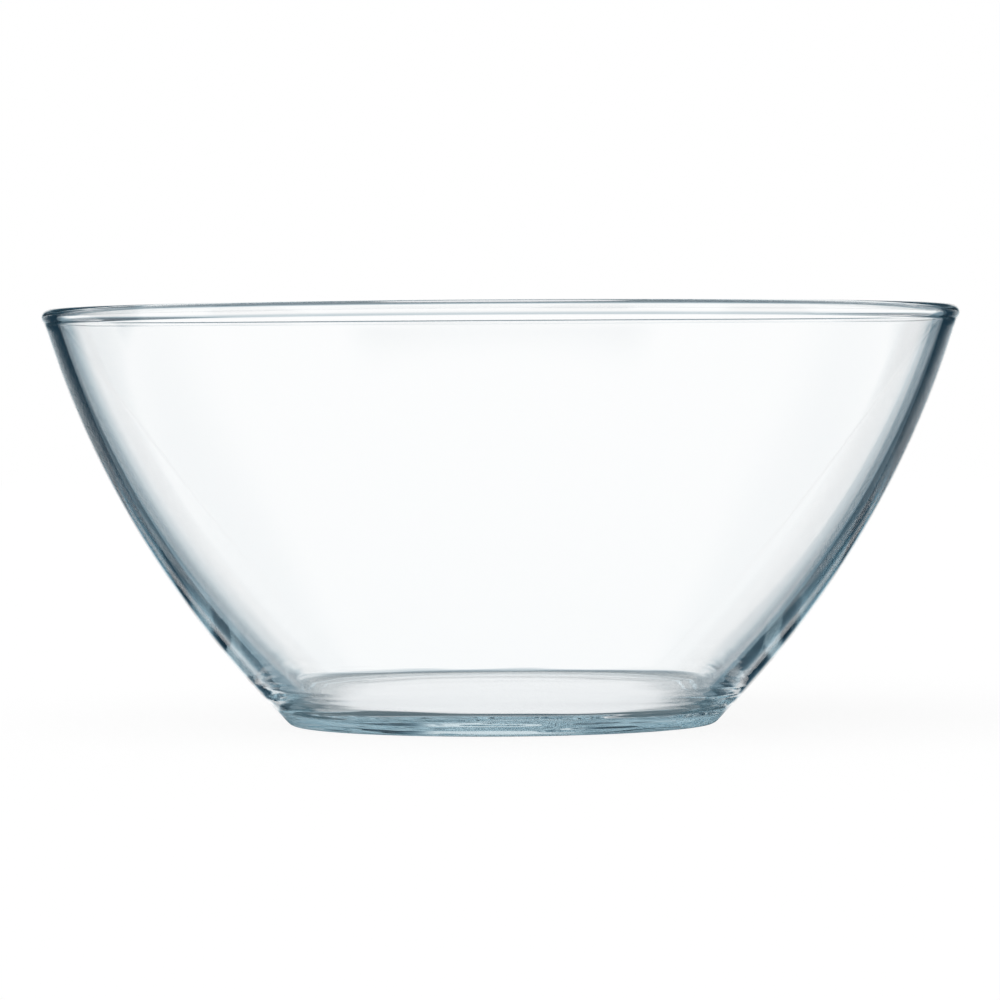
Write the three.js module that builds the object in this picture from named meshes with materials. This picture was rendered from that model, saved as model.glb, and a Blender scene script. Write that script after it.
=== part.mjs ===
// Clear pressed-glass salad bowl: flared round wall, rounded rim bead, thick floor, standing ring.
// Millimetres, +Z up. The origin is the centre of the standing ring, on the surface the bowl stands on.

import * as THREE from "three";

// Driving dimensions of the outside
const RIM_DIAMETER = 240;
const HEIGHT = 109;
const FOOT_DIAMETER = 109;
const FOOT_EDGE_RADIUS = 2.5;
const OUTER_CURVE_RADIUS = 253;

// Driving dimensions of the rim bead, a round section that stands a little proud of the wall
const BEAD_DIAMETER = 4.2;
const BEAD_STEP = 0.4;
const BEAD_NECK_RADIUS = 2.0;

// Driving dimensions of the inside
const NECK_WALL = 3.4;
const HEEL_WALL = 5.3;
const HEEL_HEIGHT = 27;
const INNER_CURVE_RADIUS = 228;
const FLOOR_THICKNESS = 6.4;
const FLOOR_FILLET_RADIUS = 6.7;

// Driving dimensions of the underside
const STANDING_RING_WIDTH = 4;
const RECESS_DEPTH = 0.3;
const RECESS_EDGE_RADIUS = 3;

// Facets
const TURN_STEPS = 72;
const WALL_STEPS = 12;
const FLOOR_STEPS = 8;
const BEAD_STEPS = 4;
const NECK_STEPS = 2;
const FOOT_STEPS = 4;
const RECESS_STEPS = 3;

const GLASS_COLOUR = 0xdcecee;
const GLASS_ROUGHNESS = 0.03;
const GLASS_METALNESS = 0;

// Every profile point is (distance from the axis, height above the table).
const at = (radius, height) => new THREE.Vector2(radius, height);

// The point where a circle about a meets a circle about b, on the left of the way from a to b.
function circlesMeet(a, radiusA, b, radiusB) {
  const way = b.clone().sub(a);
  const distance = way.length();
  way.divideScalar(distance);
  const along = (distance ** 2 + radiusA ** 2 - radiusB ** 2) / (2 * distance);
  const aside = Math.sqrt(radiusA ** 2 - along ** 2);
  return at(a.x + along * way.x - aside * way.y, a.y + along * way.y + aside * way.x);
}

const angleFrom = (centre, point) => Math.atan2(point.y - centre.y, point.x - centre.x);

// Points of an arc, from the direction of one point to the direction of another, both ends included.
function arc(centre, radius, from, to, steps, turn) {
  const start = angleFrom(centre, from);
  const sweep = THREE.MathUtils.euclideanModulo(turn * (angleFrom(centre, to) - start), 2 * Math.PI);
  const points = [];
  for (let i = 0; i <= steps; i += 1) {
    const angle = start + (turn * sweep * i) / steps;
    points.push(at(centre.x + radius * Math.cos(angle), centre.y + radius * Math.sin(angle)));
  }
  return points;
}

const ANTICLOCKWISE = 1;
const CLOCKWISE = -1;

// Outside: the foot's edge, the wall's curve and the bead touch each other without a corner.
const footRadius = FOOT_DIAMETER / 2;
const beadRadius = BEAD_DIAMETER / 2;
const beadCentre = at(RIM_DIAMETER / 2 - beadRadius, HEIGHT - beadRadius);
const footCentre = at(footRadius, FOOT_EDGE_RADIUS);
const beadToOutside = beadRadius - BEAD_STEP;
const outerCentre = circlesMeet(
  footCentre,
  OUTER_CURVE_RADIUS - FOOT_EDGE_RADIUS,
  beadCentre,
  OUTER_CURVE_RADIUS - beadToOutside,
);
const outerNeckCentre = circlesMeet(
  beadCentre,
  beadRadius + BEAD_NECK_RADIUS,
  outerCentre,
  OUTER_CURVE_RADIUS + BEAD_NECK_RADIUS,
);

// Inside: the wall thickens from the neck under the bead to the heel, then rounds into the floor.
const heelOutside = at(
  outerCentre.x + Math.sqrt(OUTER_CURVE_RADIUS ** 2 - (HEEL_HEIGHT - outerCentre.y) ** 2),
  HEEL_HEIGHT,
);
const heelInside = heelOutside.clone().lerp(outerCentre, HEEL_WALL / OUTER_CURVE_RADIUS);
const beadToInside = NECK_WALL - beadToOutside;
const innerCentre = circlesMeet(
  heelInside,
  INNER_CURVE_RADIUS,
  beadCentre,
  INNER_CURVE_RADIUS + beadToInside,
);
const innerNeckCentre = circlesMeet(
  beadCentre,
  beadRadius + BEAD_NECK_RADIUS,
  innerCentre,
  INNER_CURVE_RADIUS - BEAD_NECK_RADIUS,
);
const floorHeight = RECESS_DEPTH + FLOOR_THICKNESS;
const filletHeight = floorHeight + FLOOR_FILLET_RADIUS;
const filletReach = INNER_CURVE_RADIUS - FLOOR_FILLET_RADIUS;
const filletCentre = at(
  innerCentre.x + Math.sqrt(filletReach ** 2 - (filletHeight - innerCentre.y) ** 2),
  filletHeight,
);

// Underside: a shallow recess inside the standing ring, whose edge is two equal arcs in an S.
const ringInside = at(footRadius - STANDING_RING_WIDTH, 0);
const recessEdgeTurn = Math.acos(1 - RECESS_DEPTH / (2 * RECESS_EDGE_RADIUS));
const recessEdgeReach = 2 * RECESS_EDGE_RADIUS * Math.sin(recessEdgeTurn);
const recessEdge = at(ringInside.x - recessEdgeReach, RECESS_DEPTH);
const recessLowCentre = at(ringInside.x, RECESS_EDGE_RADIUS);
const recessHighCentre = at(recessEdge.x, RECESS_DEPTH - RECESS_EDGE_RADIUS);

function bowlProfile() {
  const recessCentre = at(0, RECESS_DEPTH);
  const recessHigh = arc(
    recessHighCentre,
    RECESS_EDGE_RADIUS,
    recessEdge,
    recessLowCentre,
    RECESS_STEPS,
    CLOCKWISE,
  );
  const recessLow = arc(
    recessLowCentre,
    RECESS_EDGE_RADIUS,
    recessHighCentre,
    ringInside,
    RECESS_STEPS,
    ANTICLOCKWISE,
  );
  const footEdge = arc(
    footCentre,
    FOOT_EDGE_RADIUS,
    at(footRadius, 0),
    footCentre.clone().multiplyScalar(2).sub(outerCentre),
    FOOT_STEPS,
    ANTICLOCKWISE,
  );
  const outerWall = arc(
    outerCentre,
    OUTER_CURVE_RADIUS,
    footCentre,
    outerNeckCentre,
    WALL_STEPS,
    ANTICLOCKWISE,
  );
  const outerNeck = arc(
    outerNeckCentre,
    BEAD_NECK_RADIUS,
    outerCentre,
    beadCentre,
    NECK_STEPS,
    CLOCKWISE,
  );
  const beadSide = at(RIM_DIAMETER / 2, beadCentre.y);
  const beadTop = at(beadCentre.x, HEIGHT);
  const beadBelow = arc(beadCentre, beadRadius, outerNeckCentre, beadSide, NECK_STEPS, ANTICLOCKWISE);
  const beadOuter = arc(beadCentre, beadRadius, beadSide, beadTop, BEAD_STEPS, ANTICLOCKWISE);
  const beadInner = arc(beadCentre, beadRadius, beadTop, innerNeckCentre, BEAD_STEPS, ANTICLOCKWISE);
  const innerNeck = arc(
    innerNeckCentre,
    BEAD_NECK_RADIUS,
    beadCentre,
    innerNeckCentre.clone().multiplyScalar(2).sub(innerCentre),
    NECK_STEPS,
    CLOCKWISE,
  );
  const innerWall = arc(
    innerCentre,
    INNER_CURVE_RADIUS,
    innerNeckCentre,
    filletCentre,
    WALL_STEPS,
    CLOCKWISE,
  );
  const fillet = arc(
    filletCentre,
    FLOOR_FILLET_RADIUS,
    filletCentre.clone().multiplyScalar(2).sub(innerCentre),
    at(filletCentre.x, floorHeight),
    FLOOR_STEPS,
    CLOCKWISE,
  );
  const floorCentre = at(0, floorHeight);
  return [
    recessCentre,
    ...recessHigh,
    ...recessLow.slice(1),
    ...footEdge,
    ...outerWall.slice(1),
    ...outerNeck.slice(1),
    ...beadBelow.slice(1),
    ...beadOuter.slice(1),
    ...beadInner.slice(1),
    ...innerNeck.slice(1),
    ...innerWall.slice(1),
    ...fillet.slice(1),
    floorCentre,
  ];
}

function makeBowl() {
  const geometry = new THREE.LatheGeometry(bowlProfile(), TURN_STEPS);
  geometry.rotateX(Math.PI / 2);
  const glass = new THREE.MeshStandardMaterial({
    color: GLASS_COLOUR,
    roughness: GLASS_ROUGHNESS,
    metalness: GLASS_METALNESS,
  });
  const bowl = new THREE.Mesh(geometry, glass);
  bowl.name = "bowl";
  return bowl;
}

const saladBowl = new THREE.Group();
saladBowl.add(makeBowl());

export default saladBowl;
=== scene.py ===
"""A clear pressed-glass salad bowl on a white floor, in a white studio with dark cards at its sides."""

import math
from typing import NamedTuple

import bmesh
import bpy
from mathutils import Euler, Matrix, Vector


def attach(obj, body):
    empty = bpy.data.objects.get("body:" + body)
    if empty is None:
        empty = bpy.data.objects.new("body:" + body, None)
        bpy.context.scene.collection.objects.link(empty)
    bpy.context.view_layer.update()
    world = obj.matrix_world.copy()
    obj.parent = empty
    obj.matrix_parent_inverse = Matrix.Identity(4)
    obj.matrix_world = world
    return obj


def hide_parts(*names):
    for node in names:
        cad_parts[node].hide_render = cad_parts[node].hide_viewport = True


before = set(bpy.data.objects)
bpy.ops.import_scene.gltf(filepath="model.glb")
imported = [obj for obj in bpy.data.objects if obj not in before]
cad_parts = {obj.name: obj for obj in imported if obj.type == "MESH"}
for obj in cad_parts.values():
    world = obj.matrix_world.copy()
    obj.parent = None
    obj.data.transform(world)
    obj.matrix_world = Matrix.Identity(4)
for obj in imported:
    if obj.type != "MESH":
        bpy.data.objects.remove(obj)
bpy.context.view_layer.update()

MM = 0.001

# Outside of the bowl
RIM_DIAMETER = 240 * MM
HEIGHT = 109 * MM
FOOT_DIAMETER = 109 * MM
FOOT_EDGE_RADIUS = 2.5 * MM
OUTER_CURVE_RADIUS = 253 * MM

# Rim bead
BEAD_DIAMETER = 4.2 * MM
BEAD_STEP = 0.4 * MM
BEAD_NECK_RADIUS = 2.0 * MM

# Inside of the bowl
NECK_WALL = 3.4 * MM
HEEL_WALL = 5.3 * MM
HEEL_HEIGHT = 27 * MM
INNER_CURVE_RADIUS = 228 * MM
FLOOR_THICKNESS = 6.4 * MM
FLOOR_FILLET_RADIUS = 6.7 * MM

# Underside
STANDING_RING_WIDTH = 4 * MM
RECESS_DEPTH = 0.3 * MM
RECESS_EDGE_RADIUS = 3 * MM

# Fineness of the surface
TURN_STEPS = 288
WALL_STEPS = 64
FILLET_STEPS = 32
BEAD_STEPS = 16
NECK_STEPS = 6
FOOT_STEPS = 12
RECESS_STEPS = 8
FLAT_STEPS = 6

ANTICLOCKWISE = 1
CLOCKWISE = -1

# Glass
GLASS_ROUGHNESS = 0.0
GLASS_TRANSMISSION = 1.0
GLASS_IOR = 1.52
GLASS_TINT = (0.1, 0.44, 0.56, 1.0)
GLASS_TINT_DENSITY = 4.2

# Waves that pressing leaves in the glass, in waves for each metre, lying flat and strongest at the base
WAVES_ACROSS = 22.0
WAVES_UP = 420.0
WAVE_SCALE = 1.0
WAVE_DETAIL = 1.0
WAVE_HEIGHT = 0.9 * MM

# The waves start at the inner radii, fade out with height and are nearly nothing elsewhere
WAVE_INNER = (48 * MM, 54 * MM)
WAVE_FADE = (0 * MM, 26 * MM)
WAVE_FADE_POWER = 5.0
WAVE_LEAST = 0.002

# Camera, from the photograph's viewpoint
CAMERA_DISTANCE = 1360 * MM
CAMERA_HEIGHT = 85.15 * MM
AIM = (-0.43 * MM, 0, 58.6 * MM)
CAMERA_ROLL = math.radians(-0.354)
CAMERA_LENS = 186.66
SENSOR_WIDTH = 36.0

# Floor
FLOOR_SIZE = 8.0
FLOOR_DROP = 0.2 * MM
FLOOR_COLOUR = (0.92, 0.92, 0.92, 1.0)
FLOOR_SEEN_WHITE = 0.9

# The floor under the bowl as it shows through the glass, glowing with painted light: how far it shows,
# where its pale middle fades into a dark painted contact shadow at the foot's edge, and its colours
PAINTED_UNDER_REACH = (57 * MM, 66 * MM)
PAINTED_SHADOW_FADE = (40 * MM, 50 * MM)
# Painted light: the pale glow of the floor's middle under the bowl
PAINTED_UNDER_LIGHT = (0.82, 0.82, 0.84, 1.0)
# Painted shade: a dark contact shadow ring at the foot's edge
PAINTED_CONTACT_SHADOW = (0.06, 0.11, 0.135, 1.0)

# Light
SUN_STRENGTH = 1.8
SUN_ANGLE = math.radians(70)
SUN_TURN = (math.radians(20), math.radians(-15), 0)
AMBIENT = (0.6, 0.6, 0.6, 1.0)
WHITE = (1.0, 1.0, 1.0, 1.0)
DARK = (0.012, 0.033, 0.052)
MAX_BOUNCES = 100


class Flag(NamedTuple):
    """A dark card beside a bright gap, with soft edges.

    Angles are in degrees. A gap is turned from +Y towards -X, and side is 1 for the card on its -X side.
    Outer is the card's edge away from the gap, low is its lower edge, lean brings the outer edge in
    further down, and depth is the card's share of the full dark.
    """

    gap: float
    side: int
    outer: tuple
    lean: float
    low: tuple
    depth: float


FLAG_INNER = (10.5, 19)
FLAG_HIGH = (5, 13)
FLAGS = (
    # Behind the bowl
    Flag(gap=0, side=1, outer=(36.5, 39.5), lean=0.75, low=(-27, -22), depth=1),
    Flag(gap=0, side=1, outer=(33, 43), lean=0, low=(-41, -34), depth=0.33),
    Flag(gap=0, side=-1, outer=(32.2, 35.2), lean=0.45, low=(-41, -34), depth=1),
    Flag(gap=0, side=-1, outer=(37, 39), lean=0, low=(-41, -34), depth=0.4),
    # At the bowl's -X side
    Flag(gap=90, side=1, outer=(36, 39), lean=0.7, low=(-20, -15), depth=1),
    Flag(gap=90, side=-1, outer=(36, 39), lean=0.7, low=(-20, -15), depth=1),
    # In front of the bowl, towards +X
    Flag(gap=-135, side=1, outer=(36, 39), lean=0.7, low=(-24, -20), depth=1),
    Flag(gap=-135, side=-1, outer=(36, 39), lean=0.7, low=(-24, -20), depth=1),
)


class Bar(NamedTuple):
    """A darker patch of the studio, with soft edges and angles as a flag has them.

    Turn is the patch's middle, reach its width to each side, and low and high its lower and upper edges.
    """

    turn: float
    reach: tuple
    low: tuple
    high: tuple
    depth: float


BARS = (
    # Beyond the cards
    Bar(turn=46, reach=(22, 34), low=(-3, 2), high=(9, 17), depth=0.8),
    Bar(turn=-48, reach=(16, 26), low=(1, 6), high=(14, 20), depth=0.3),
    # Ground, seen steeply
    Bar(turn=0, reach=(18, 34), low=(-64, -54), high=(-34, -17), depth=0.65),
    # Grey ceiling and a beam along it
    Bar(turn=0, reach=(60, 90), low=(12, 27), high=(36, 50), depth=0.13),
    Bar(turn=0, reach=(24, 40), low=(31, 37), high=(45, 53), depth=0.6),
    # Room behind the camera
    Bar(turn=180, reach=(35, 50), low=(2, 8), high=(28, 40), depth=0.7),
    # Above the cards
    Bar(turn=24, reach=(9, 17), low=(7, 13), high=(27, 35), depth=0.7),
    Bar(turn=-22, reach=(7, 13), low=(7, 13), high=(24, 32), depth=0.7),
)

# In degrees
HALF_TURN = 180


def circles_meet(a, radius_a, b, radius_b):
    """The point where a circle about a meets one about b, on the left of the way from a to b."""
    way = b - a
    distance = way.length
    way = way / distance
    along = (distance**2 + radius_a**2 - radius_b**2) / (2 * distance)
    aside = math.sqrt(radius_a**2 - along**2)
    return a + along * way + aside * Vector((-way.y, way.x))


def arc(centre, radius, start, end, steps, turn):
    """Points of an arc, from the direction of one point to the direction of another."""
    first = math.atan2(start.y - centre.y, start.x - centre.x)
    last = math.atan2(end.y - centre.y, end.x - centre.x)
    sweep = (turn * (last - first)) % (2 * math.pi)
    points = []
    for i in range(steps + 1):
        angle = first + turn * sweep * i / steps
        points.append(centre + radius * Vector((math.cos(angle), math.sin(angle))))
    return points


def line(start, end, steps):
    """Points of a straight stretch, both ends included."""
    return [start.lerp(end, i / steps) for i in range(steps + 1)]


def bowl_profile():
    """The bowl's section as (radius, height) points, from its underside round the rim to its floor."""
    bead_radius = BEAD_DIAMETER / 2
    foot_radius = FOOT_DIAMETER / 2
    bead = Vector((RIM_DIAMETER / 2 - bead_radius, HEIGHT - bead_radius))
    foot = Vector((foot_radius, FOOT_EDGE_RADIUS))
    bead_to_outside = bead_radius - BEAD_STEP
    outer = circles_meet(
        foot, OUTER_CURVE_RADIUS - FOOT_EDGE_RADIUS, bead, OUTER_CURVE_RADIUS - bead_to_outside
    )
    outer_neck = circles_meet(
        bead, bead_radius + BEAD_NECK_RADIUS, outer, OUTER_CURVE_RADIUS + BEAD_NECK_RADIUS
    )
    heel_reach = math.sqrt(OUTER_CURVE_RADIUS**2 - (HEEL_HEIGHT - outer.y) ** 2)
    heel_outside = Vector((outer.x + heel_reach, HEEL_HEIGHT))
    heel_inside = heel_outside.lerp(outer, HEEL_WALL / OUTER_CURVE_RADIUS)
    bead_to_inside = NECK_WALL - bead_to_outside
    inner = circles_meet(heel_inside, INNER_CURVE_RADIUS, bead, INNER_CURVE_RADIUS + bead_to_inside)
    inner_neck = circles_meet(
        bead, bead_radius + BEAD_NECK_RADIUS, inner, INNER_CURVE_RADIUS - BEAD_NECK_RADIUS
    )
    floor_height = RECESS_DEPTH + FLOOR_THICKNESS
    fillet_height = floor_height + FLOOR_FILLET_RADIUS
    fillet_reach = INNER_CURVE_RADIUS - FLOOR_FILLET_RADIUS
    fillet = Vector(
        (inner.x + math.sqrt(fillet_reach**2 - (fillet_height - inner.y) ** 2), fillet_height)
    )
    ring_inside = Vector((foot_radius - STANDING_RING_WIDTH, 0))
    edge_turn = math.acos(1 - RECESS_DEPTH / (2 * RECESS_EDGE_RADIUS))
    edge_run = RECESS_EDGE_RADIUS * math.sin(edge_turn)
    ring_side = Vector((ring_inside.x, RECESS_EDGE_RADIUS))
    recess_side = Vector((ring_inside.x - 2 * edge_run, RECESS_DEPTH - RECESS_EDGE_RADIUS))
    recess_edge = Vector((recess_side.x, RECESS_DEPTH))
    ring_outside = Vector((foot_radius, 0))
    floor_edge = Vector((fillet.x, floor_height))
    stretches = [
        line(Vector((0, RECESS_DEPTH)), recess_edge, FLAT_STEPS),
        arc(recess_side, RECESS_EDGE_RADIUS, recess_edge, ring_side, RECESS_STEPS, CLOCKWISE),
        arc(ring_side, RECESS_EDGE_RADIUS, recess_side, ring_inside, RECESS_STEPS, ANTICLOCKWISE),
        line(ring_inside, ring_outside, FLAT_STEPS),
        arc(foot, FOOT_EDGE_RADIUS, ring_outside, 2 * foot - outer, FOOT_STEPS, ANTICLOCKWISE),
        arc(outer, OUTER_CURVE_RADIUS, foot, outer_neck, WALL_STEPS, ANTICLOCKWISE),
        arc(outer_neck, BEAD_NECK_RADIUS, outer, bead, NECK_STEPS, CLOCKWISE),
        arc(bead, bead_radius, outer_neck, inner_neck, BEAD_STEPS, ANTICLOCKWISE),
        arc(inner_neck, BEAD_NECK_RADIUS, bead, 2 * inner_neck - inner, NECK_STEPS, CLOCKWISE),
        arc(inner, INNER_CURVE_RADIUS, inner_neck, fillet, WALL_STEPS, CLOCKWISE),
        arc(fillet, FLOOR_FILLET_RADIUS, 2 * fillet - inner, floor_edge, FILLET_STEPS, CLOCKWISE),
        line(floor_edge, Vector((0, floor_height)), FLAT_STEPS),
    ]
    points = stretches[0][:1]
    for stretch in stretches:
        points.extend(stretch[1:])
    return points


def make_bowl(glass):
    """The bowl as one closed smooth body of revolution."""
    profile = bowl_profile()
    body = bmesh.new()
    bottom = body.verts.new((0, 0, profile[0].y))
    top = body.verts.new((0, 0, profile[-1].y))
    columns = []
    for i in range(TURN_STEPS):
        angle = 2 * math.pi * i / TURN_STEPS
        column = [
            body.verts.new((p.x * math.cos(angle), p.x * math.sin(angle), p.y))
            for p in profile[1:-1]
        ]
        columns.append([bottom, *column, top])
    for i, column in enumerate(columns):
        following = columns[(i + 1) % TURN_STEPS]
        for low in range(len(profile) - 1):
            corners = [column[low], following[low], following[low + 1], column[low + 1]]
            body.faces.new(list(dict.fromkeys(corners)))
    mesh = bpy.data.meshes.new("bowl_glass")
    body.to_mesh(mesh)
    body.free()
    mesh.polygons.foreach_set("use_smooth", [True] * len(mesh.polygons))
    mesh.materials.append(glass)
    bowl = bpy.data.objects.new("bowl_glass", mesh)
    bpy.context.collection.objects.link(bowl)
    return bowl


class NodeMaths:
    """Short calls for the arithmetic nodes of one node tree."""

    COLOUR_A = 6
    COLOUR_B = 7
    COLOUR_RESULT = 2

    def __init__(self, tree):
        self.nodes = tree.nodes
        self.links = tree.links

    def feed(self, value, socket):
        if isinstance(value, bpy.types.NodeSocket):
            self.links.new(value, socket)
        else:
            socket.default_value = value

    def math(self, operation, first, second=0.0):
        node = self.nodes.new("ShaderNodeMath")
        node.operation = operation
        self.feed(first, node.inputs[0])
        self.feed(second, node.inputs[1])
        return node.outputs[0]

    def rise(self, value, limits):
        """0 below the first limit, 1 above the second, smooth between them."""
        node = self.nodes.new("ShaderNodeMapRange")
        node.interpolation_type = "SMOOTHSTEP"
        self.feed(value, node.inputs["Value"])
        node.inputs["From Min"].default_value = limits[0]
        node.inputs["From Max"].default_value = limits[1]
        return node.outputs["Result"]

    def fall(self, value, limits):
        return self.math("SUBTRACT", 1.0, self.rise(value, limits))

    def wrap(self, angle):
        """The same angle within half a turn either way."""
        node = self.nodes.new("ShaderNodeMath")
        node.operation = "WRAP"
        self.feed(angle, node.inputs[0])
        node.inputs[1].default_value = HALF_TURN
        node.inputs[2].default_value = -HALF_TURN
        return node.outputs[0]

    def product(self, *values):
        result = values[0]
        for value in values[1:]:
            result = self.math("MULTIPLY", result, value)
        return result

    def mix(self, share, first, second):
        node = self.nodes.new("ShaderNodeMix")
        node.data_type = "RGBA"
        self.feed(share, node.inputs["Factor"])
        self.feed(first, node.inputs[self.COLOUR_A])
        self.feed(second, node.inputs[self.COLOUR_B])
        return node.outputs[self.COLOUR_RESULT]

    def shade(self, share, first, second):
        """A mix of two shaders."""
        node = self.nodes.new("ShaderNodeMixShader")
        self.feed(share, node.inputs[0])
        self.links.new(first.outputs[0], node.inputs[1])
        self.links.new(second.outputs[0], node.inputs[2])
        return node


def glass_material():
    """Clear soda-lime glass, faintly wavy, whose blue-green tint grows with the depth of glass."""
    material = bpy.data.materials.new("clear_glass")
    material.use_nodes = True
    nodes = material.node_tree.nodes
    links = material.node_tree.links
    shader = nodes["Principled BSDF"]
    shader.inputs["Base Color"].default_value = WHITE
    shader.inputs["Roughness"].default_value = GLASS_ROUGHNESS
    shader.inputs["IOR"].default_value = GLASS_IOR
    shader.inputs["Transmission Weight"].default_value = GLASS_TRANSMISSION
    maths = NodeMaths(material.node_tree)
    place = nodes.new("ShaderNodeTexCoord")
    waves = nodes.new("ShaderNodeTexNoise")
    waves.inputs["Scale"].default_value = WAVE_SCALE
    waves.inputs["Detail"].default_value = WAVE_DETAIL
    stretch = nodes.new("ShaderNodeVectorMath")
    stretch.operation = "MULTIPLY"
    stretch.inputs[1].default_value = (WAVES_ACROSS, WAVES_ACROSS, WAVES_UP)
    links.new(place.outputs["Object"], stretch.inputs[0])
    links.new(stretch.outputs[0], waves.inputs["Vector"])
    spot = nodes.new("ShaderNodeSeparateXYZ")
    links.new(place.outputs["Object"], spot.inputs[0])
    x, y, z = spot.outputs
    radius = maths.math("SQRT", maths.math("ADD", maths.product(x, x), maths.product(y, y)))
    low = maths.math("POWER", maths.fall(z, WAVE_FADE), WAVE_FADE_POWER)
    base = maths.product(maths.rise(radius, WAVE_INNER), low)
    strength = maths.math("MAXIMUM", base, WAVE_LEAST)
    bump = nodes.new("ShaderNodeBump")
    bump.inputs["Distance"].default_value = WAVE_HEIGHT
    maths.feed(maths.math("MULTIPLY", waves.outputs[0], strength), bump.inputs["Height"])
    links.new(bump.outputs["Normal"], shader.inputs["Normal"])
    tint = nodes.new("ShaderNodeVolumeAbsorption")
    tint.inputs["Color"].default_value = GLASS_TINT
    tint.inputs["Density"].default_value = GLASS_TINT_DENSITY
    links.new(tint.outputs["Volume"], nodes["Material Output"].inputs["Volume"])
    return material


def make_world():
    """White to the camera, and white with the dark flags and bars where it shows in the glass."""
    world = bpy.data.worlds.new("studio")
    bpy.context.scene.world = world
    world.use_nodes = True
    maths = NodeMaths(world.node_tree)
    nodes = world.node_tree.nodes
    way = nodes.new("ShaderNodeSeparateXYZ")
    place = nodes.new("ShaderNodeTexCoord")
    maths.links.new(place.outputs["Generated"], way.inputs[0])
    x, y, z = way.outputs
    turn = maths.math("DEGREES", maths.math("ARCTAN2", maths.math("MULTIPLY", x, -1.0), y))
    height = maths.math("DEGREES", maths.math("ARCSINE", z))
    darkness = 0.0
    for bar in BARS:
        aside = maths.math("ABSOLUTE", maths.wrap(maths.math("SUBTRACT", turn, bar.turn)))
        shade = maths.product(
            maths.fall(aside, bar.reach),
            maths.rise(height, bar.low),
            maths.fall(height, bar.high),
            bar.depth,
        )
        darkness = maths.math("MAXIMUM", darkness, shade)
    for flag in FLAGS:
        from_gap = maths.wrap(maths.math("SUBTRACT", turn, flag.gap))
        aside = maths.math("MULTIPLY", from_gap, flag.side)
        leaning = maths.math("SUBTRACT", aside, maths.math("MULTIPLY", height, flag.lean))
        shade = maths.product(
            maths.rise(aside, FLAG_INNER),
            maths.fall(leaning, flag.outer),
            maths.rise(height, flag.low),
            maths.fall(height, FLAG_HIGH),
            flag.depth,
        )
        darkness = maths.math("MAXIMUM", darkness, shade)
    tent = nodes.new("ShaderNodeCombineColor")
    for dark, channel in zip(DARK, tent.inputs):
        maths.feed(maths.math("POWER", dark, darkness), channel)
    ray = nodes.new("ShaderNodeLightPath")
    through = maths.math("MAXIMUM", ray.outputs["Is Glossy Ray"], ray.outputs["Is Transmission Ray"])
    seen = maths.mix(through, AMBIENT, tent.outputs[0])
    colour = maths.mix(ray.outputs["Is Camera Ray"], seen, WHITE)
    maths.links.new(colour, nodes["Background"].inputs["Color"])


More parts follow.
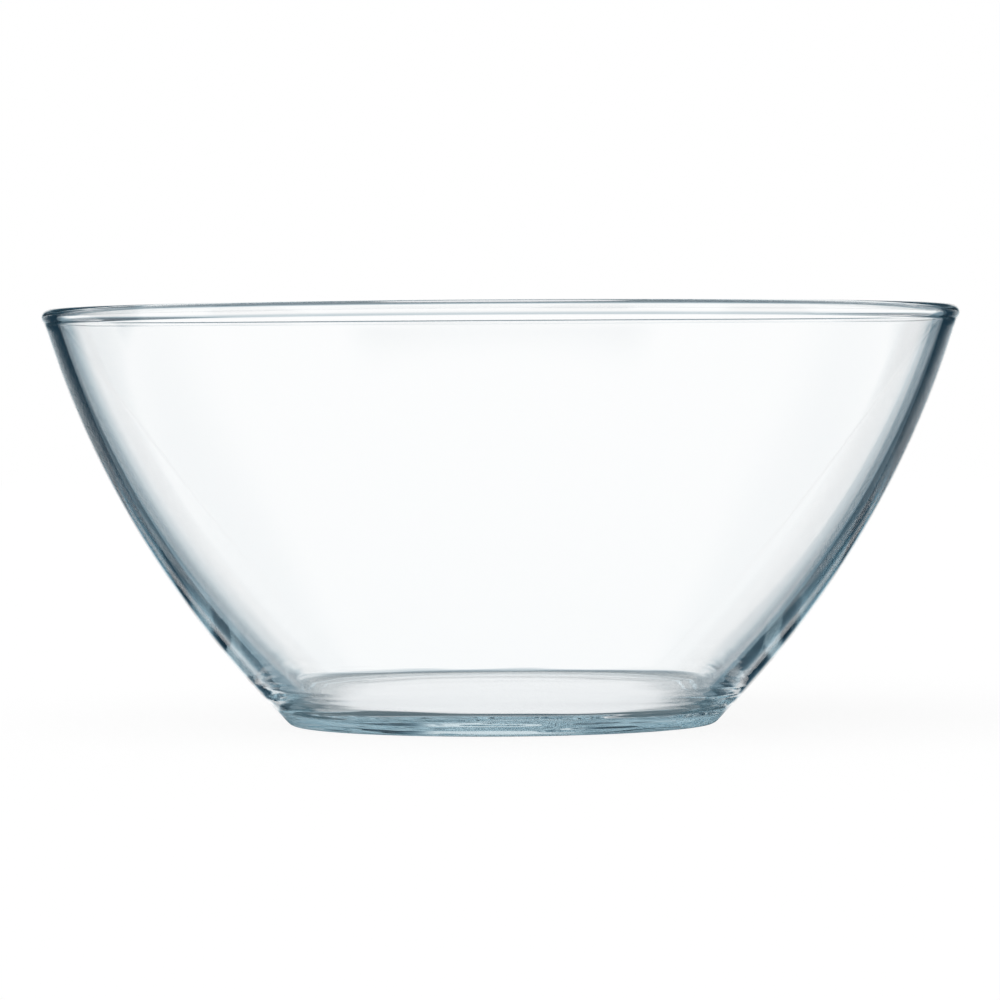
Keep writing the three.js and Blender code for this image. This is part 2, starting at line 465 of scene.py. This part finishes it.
def floor_material():
    """A white floor with a faint shadow. Through the glass it shows only right under the bowl, as a
    glowing patch of painted light that darkens into a painted contact shadow ring at the foot's edge.
    """
    material = bpy.data.materials.new("white_floor")
    material.use_nodes = True
    maths = NodeMaths(material.node_tree)
    nodes = material.node_tree.nodes
    nodes.remove(nodes["Principled BSDF"])
    plain = nodes.new("ShaderNodeBsdfDiffuse")
    plain.inputs["Color"].default_value = FLOOR_COLOUR
    glow = nodes.new("ShaderNodeEmission")
    open_air = nodes.new("ShaderNodeBsdfTransparent")
    ray = nodes.new("ShaderNodeLightPath")
    place = nodes.new("ShaderNodeNewGeometry")
    reach = nodes.new("ShaderNodeVectorMath")
    reach.operation = "LENGTH"
    maths.links.new(place.outputs["Position"], reach.inputs[0])
    radius = reach.outputs["Value"]
    # Painted light and shade: the floor under the bowl glows, pale in the middle and dark in a painted
    # contact shadow ring near the foot
    painted_under_glow = nodes.new("ShaderNodeEmission")
    painted_light_and_shadow = maths.mix(maths.rise(radius, PAINTED_SHADOW_FADE), PAINTED_UNDER_LIGHT, PAINTED_CONTACT_SHADOW)
    maths.links.new(painted_light_and_shadow, painted_under_glow.inputs["Color"])
    through = maths.math("MAXIMUM", ray.outputs["Is Glossy Ray"], ray.outputs["Is Transmission Ray"])
    # Past the painted contact shadow the floor lets glass rays through to open air
    painted_under = maths.shade(maths.fall(radius, PAINTED_UNDER_REACH), open_air, painted_under_glow)
    seen_white = maths.math("MULTIPLY", ray.outputs["Is Camera Ray"], FLOOR_SEEN_WHITE)
    seen = maths.shade(seen_white, plain, glow)
    surface = maths.shade(through, seen, painted_under)
    maths.links.new(surface.outputs[0], nodes["Material Output"].inputs["Surface"])
    return material


def make_floor():
    """A wide flat floor, a hair below the standing ring."""
    body = bmesh.new()
    bmesh.ops.create_grid(body, x_segments=1, y_segments=1, size=FLOOR_SIZE / 2)
    mesh = bpy.data.meshes.new("floor")
    body.to_mesh(mesh)
    body.free()
    mesh.materials.append(floor_material())
    floor = bpy.data.objects.new("floor", mesh)
    floor.location.z = -FLOOR_DROP
    bpy.context.collection.objects.link(floor)


def make_sun():
    """A wide soft light from above, which does not show in the glass."""
    sun = bpy.data.lights.new("sun", "SUN")
    sun.energy = SUN_STRENGTH
    sun.angle = SUN_ANGLE
    lamp = bpy.data.objects.new("sun", sun)
    lamp.rotation_euler = Euler(SUN_TURN)
    lamp.visible_glossy = False
    lamp.visible_transmission = False
    bpy.context.collection.objects.link(lamp)


def make_camera():
    """The camera in front of the bowl, a little below its rim, rolled to follow the rim's tilt."""
    camera = bpy.data.cameras.new("camera")
    camera.lens = CAMERA_LENS
    camera.sensor_width = SENSOR_WIDTH
    place = bpy.data.objects.new("camera", camera)
    place.location = (0, -CAMERA_DISTANCE, CAMERA_HEIGHT)
    look = Vector(AIM) - place.location
    place.rotation_mode = "QUATERNION"
    level = look.to_track_quat("-Z", "Y")
    place.rotation_quaternion = level @ Euler((0, 0, CAMERA_ROLL)).to_quaternion()
    bpy.context.collection.objects.link(place)
    bpy.context.scene.camera = place


scene = bpy.context.scene
scene.view_settings.view_transform = "Standard"
scene.cycles.max_bounces = MAX_BOUNCES
scene.cycles.glossy_bounces = MAX_BOUNCES
scene.cycles.transmission_bounces = MAX_BOUNCES

make_camera()
bowl = make_bowl(glass_material())
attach(bowl, "root")
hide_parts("bowl")
make_floor()
make_sun()
make_world()
